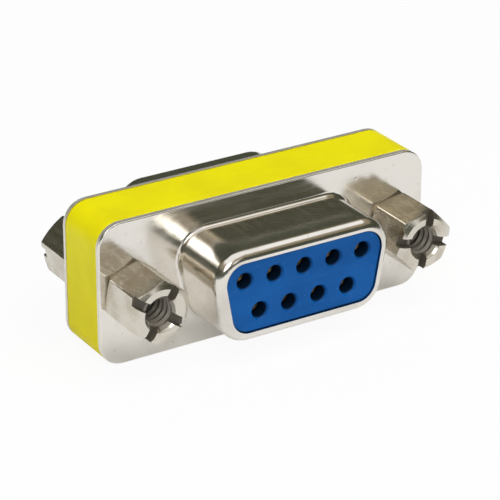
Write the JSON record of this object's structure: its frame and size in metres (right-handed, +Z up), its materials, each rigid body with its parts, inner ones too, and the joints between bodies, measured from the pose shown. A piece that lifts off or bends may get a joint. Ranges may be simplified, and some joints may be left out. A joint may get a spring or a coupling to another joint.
{
  "type": "d-sub gender changer",
  "caption": "Slim straight-through adapter with a female D-shaped socket port on each face, two flange plates round a moulded frame, and threaded hexagonal jacks.",
  "frame": {"origin": "middle of the underside, on the surface that the connector stands on", "axes": "+X along the connector, -Y out of the pictured front port, +Z up towards the wide side of the front port"},
  "size_m": [0.0308, 0.0176, 0.0123],
  "materials": {
    "nickel_sheet": "bright nickel plate on drawn steel",
    "nickel_jack": "nickel plate on turned hexagon bar",
    "yellow_moulding": "smooth moulded, semi-gloss",
    "blue_moulding": "smooth moulded, satin",
    "contact_metal": "plated spring copper alloy"
  },
  "bodies": {
    "root": {"front_shell": "nickel_sheet", "rear_shell": "nickel_sheet", "body_frame": "yellow_moulding", "front_insulator": "blue_moulding", "rear_insulator": "blue_moulding", "front_contact_1": "contact_metal", "front_contact_2": "contact_metal", "front_contact_3": "contact_metal", "front_contact_4": "contact_metal", "front_contact_5": "contact_metal", "front_contact_6": "contact_metal", "front_contact_7": "contact_metal", "front_contact_8": "contact_metal", "front_contact_9": "contact_metal", "rear_contact_1": "contact_metal", "rear_contact_2": "contact_metal", "rear_contact_3": "contact_metal", "rear_contact_4": "contact_metal", "rear_contact_5": "contact_metal", "rear_contact_6": "contact_metal", "rear_contact_7": "contact_metal", "rear_contact_8": "contact_metal", "rear_contact_9": "contact_metal", "front_left_jack": "nickel_jack", "front_right_jack": "nickel_jack", "rear_left_jack": "nickel_jack", "rear_right_jack": "nickel_jack"}
  },
  "joints": []
}
